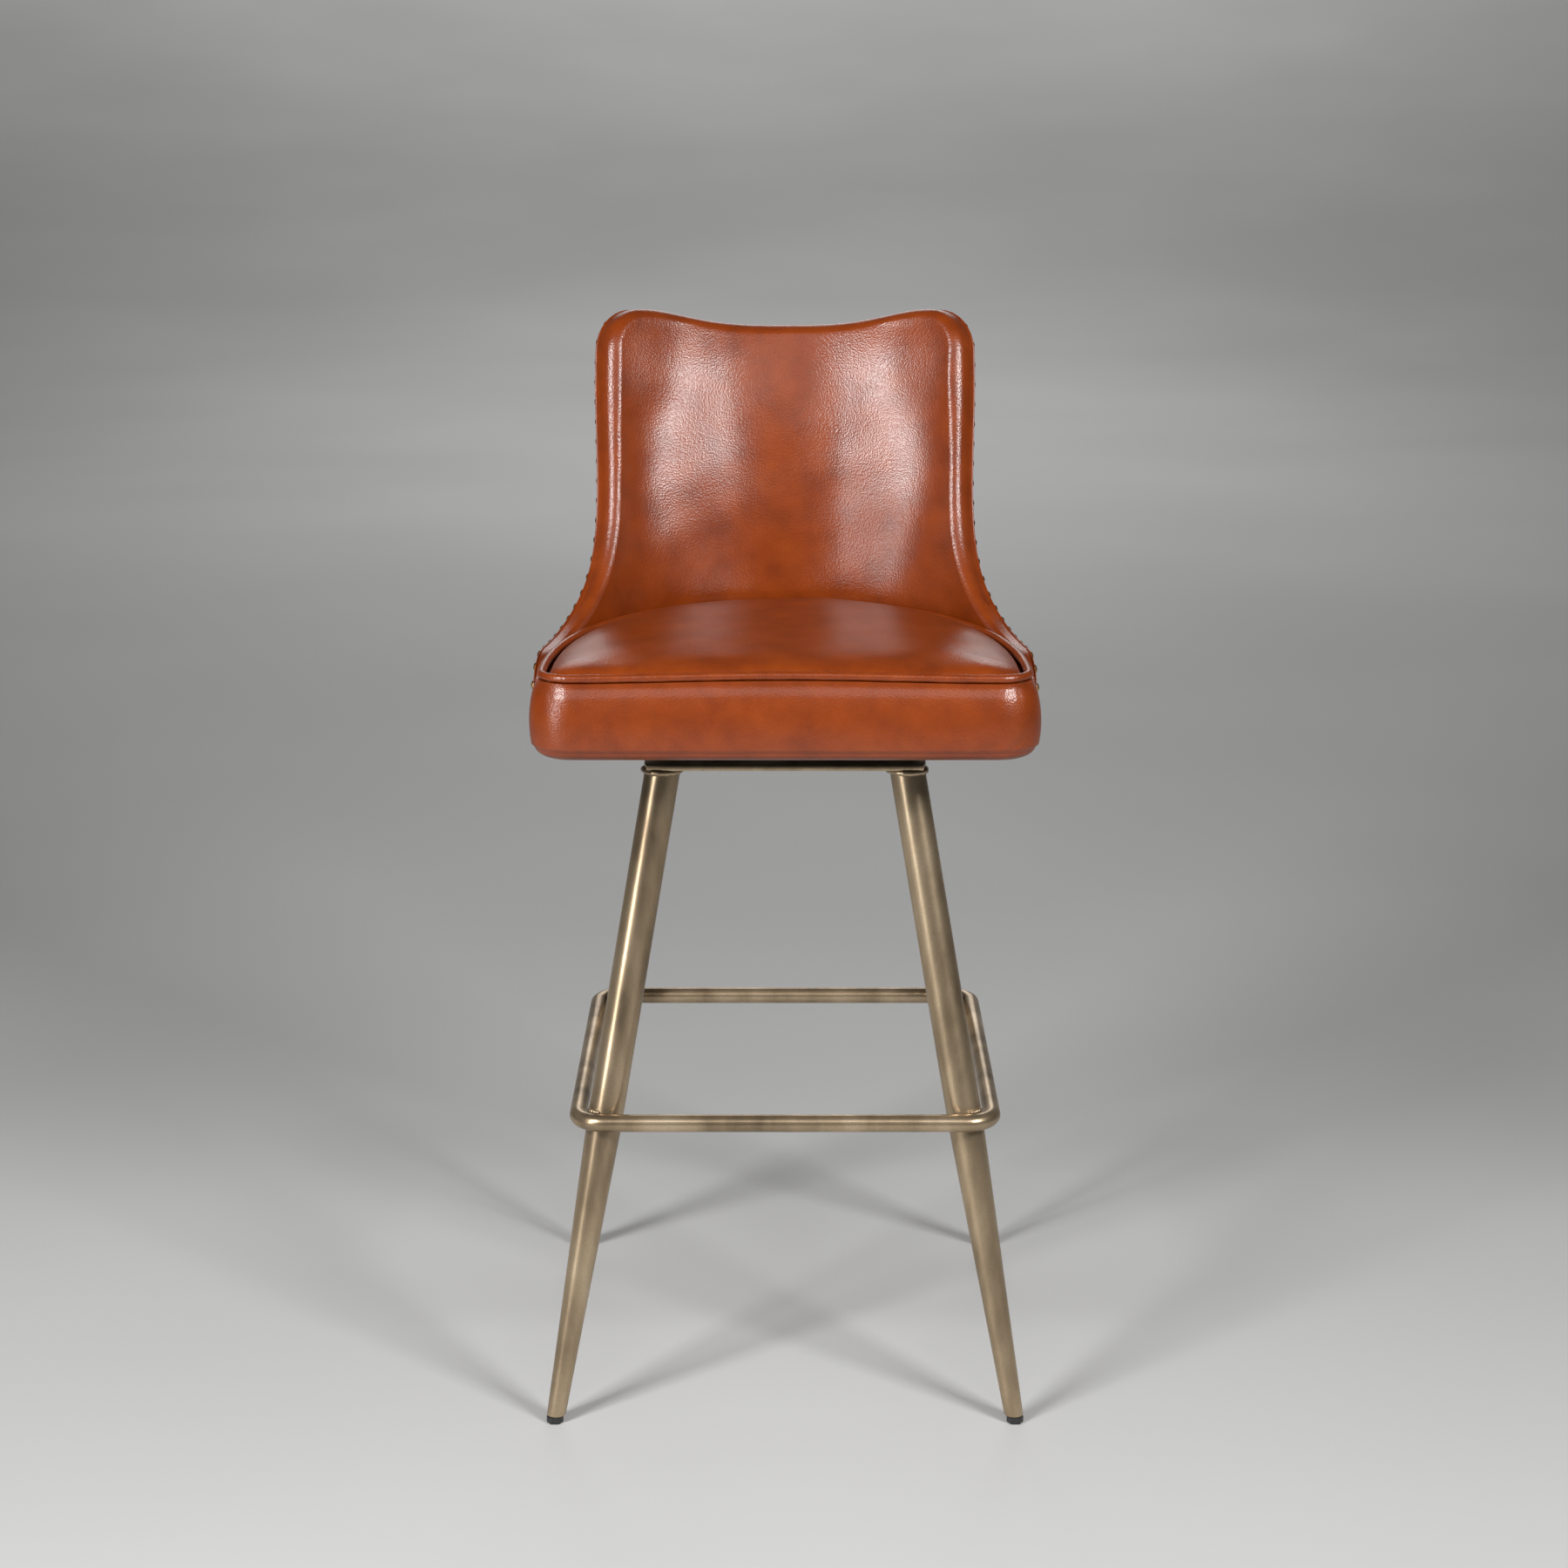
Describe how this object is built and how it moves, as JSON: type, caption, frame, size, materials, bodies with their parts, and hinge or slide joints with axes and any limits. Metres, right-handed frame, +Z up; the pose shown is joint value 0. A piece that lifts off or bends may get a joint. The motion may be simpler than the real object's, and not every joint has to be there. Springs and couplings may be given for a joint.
{
  "type": "swivel bar stool",
  "caption": "Bar stool with four splayed tapered legs, a square footrest ring, a swivelling leather box seat with piping and a winged wrap-round back.",
  "frame": {"origin": "on the floor under the swivel axis", "axes": "+Z up; the stool's front faces -Y at rest; +X is to the right seen from the front"},
  "size_m": [0.4952, 0.4903, 1.0666],
  "materials": {
    "leather": "satin",
    "bronze": "satin",
    "nylon": "matte",
    "zinc": "satin",
    "plywood": "matte",
    "foam": "matte",
    "cambric": "matte",
    "brass": "satin"
  },
  "bodies": {
    "base": {"leg_front_right": "bronze", "leg_rear_right": "bronze", "leg_rear_left": "bronze", "leg_front_left": "bronze", "leg_insert_front_right": "zinc", "leg_insert_rear_right": "zinc", "leg_insert_rear_left": "zinc", "leg_insert_front_left": "zinc", "footrest_ring": "bronze", "top_plate": "bronze", "swivel_lower_plate": "zinc", "swivel_king_pin": "zinc", "frame_bolt_front_right": "zinc", "frame_bolt_rear_right": "zinc", "frame_bolt_rear_left": "zinc", "frame_bolt_front_left": "zinc", "frame_nut_front_right": "zinc", "frame_nut_rear_right": "zinc", "frame_nut_rear_left": "zinc", "frame_nut_front_left": "zinc"},
    "seat": {"back_bolt_rear_left": "zinc", "back_bolt_rear_right": "zinc", "back_bolt_side_left": "zinc", "back_bolt_side_right": "zinc", "back_cover_front": "leather", "back_cover_rear": "leather", "back_foam": "foam", "back_shell": "plywood", "board_insert_front_left": "zinc", "board_insert_front_right": "zinc", "board_insert_rear_left": "zinc", "board_insert_rear_right": "zinc", "seat_board": "plywood", "seat_boxing": "leather", "seat_dust_cover": "cambric", "seat_foam": "foam", "seat_piping": "leather", "seat_screw_front_left": "zinc", "seat_screw_front_right": "zinc", "seat_screw_rear_left": "zinc", "seat_screw_rear_right": "zinc", "seat_top_panel": "leather", "swivel_upper_plate": "zinc"},
    "ball_cage": {"swivel_ball_cage": "zinc"},
    "glide_front_right": {"glide_front_right": "nylon"},
    "glide_rear_right": {"glide_rear_right": "nylon"},
    "glide_rear_left": {"glide_rear_left": "nylon"},
    "glide_front_left": {"glide_front_left": "nylon"}
  },
  "joints": [
    {"name": "seat_swivel", "type": "hinge", "parent": "base", "child": "seat", "pos_m": [0, 0, 0], "axis": [0, 0, 1], "continuous": true},
    {"name": "ball_cage_spin", "type": "hinge", "parent": "base", "child": "ball_cage", "pos_m": [0, 0, 0], "axis": [0, 0, 1], "continuous": true},
    {"name": "glide_screw_front_right", "type": "slide", "parent": "base", "child": "glide_front_right", "axis": [0.1652, -0.1652, -0.9723], "range_m": [0, 0.01]},
    {"name": "glide_screw_rear_right", "type": "slide", "parent": "base", "child": "glide_rear_right", "axis": [0.1652, 0.1652, -0.9723], "range_m": [0, 0.01]},
    {"name": "glide_screw_rear_left", "type": "slide", "parent": "base", "child": "glide_rear_left", "axis": [-0.1652, 0.1652, -0.9723], "range_m": [0, 0.01]},
    {"name": "glide_screw_front_left", "type": "slide", "parent": "base", "child": "glide_front_left", "axis": [-0.1652, -0.1652, -0.9723], "range_m": [0, 0.01]}
  ],
  "couplings": [
    {"joint": "ball_cage_spin", "follows": "seat_swivel", "ratio": 0.5}
  ]
}
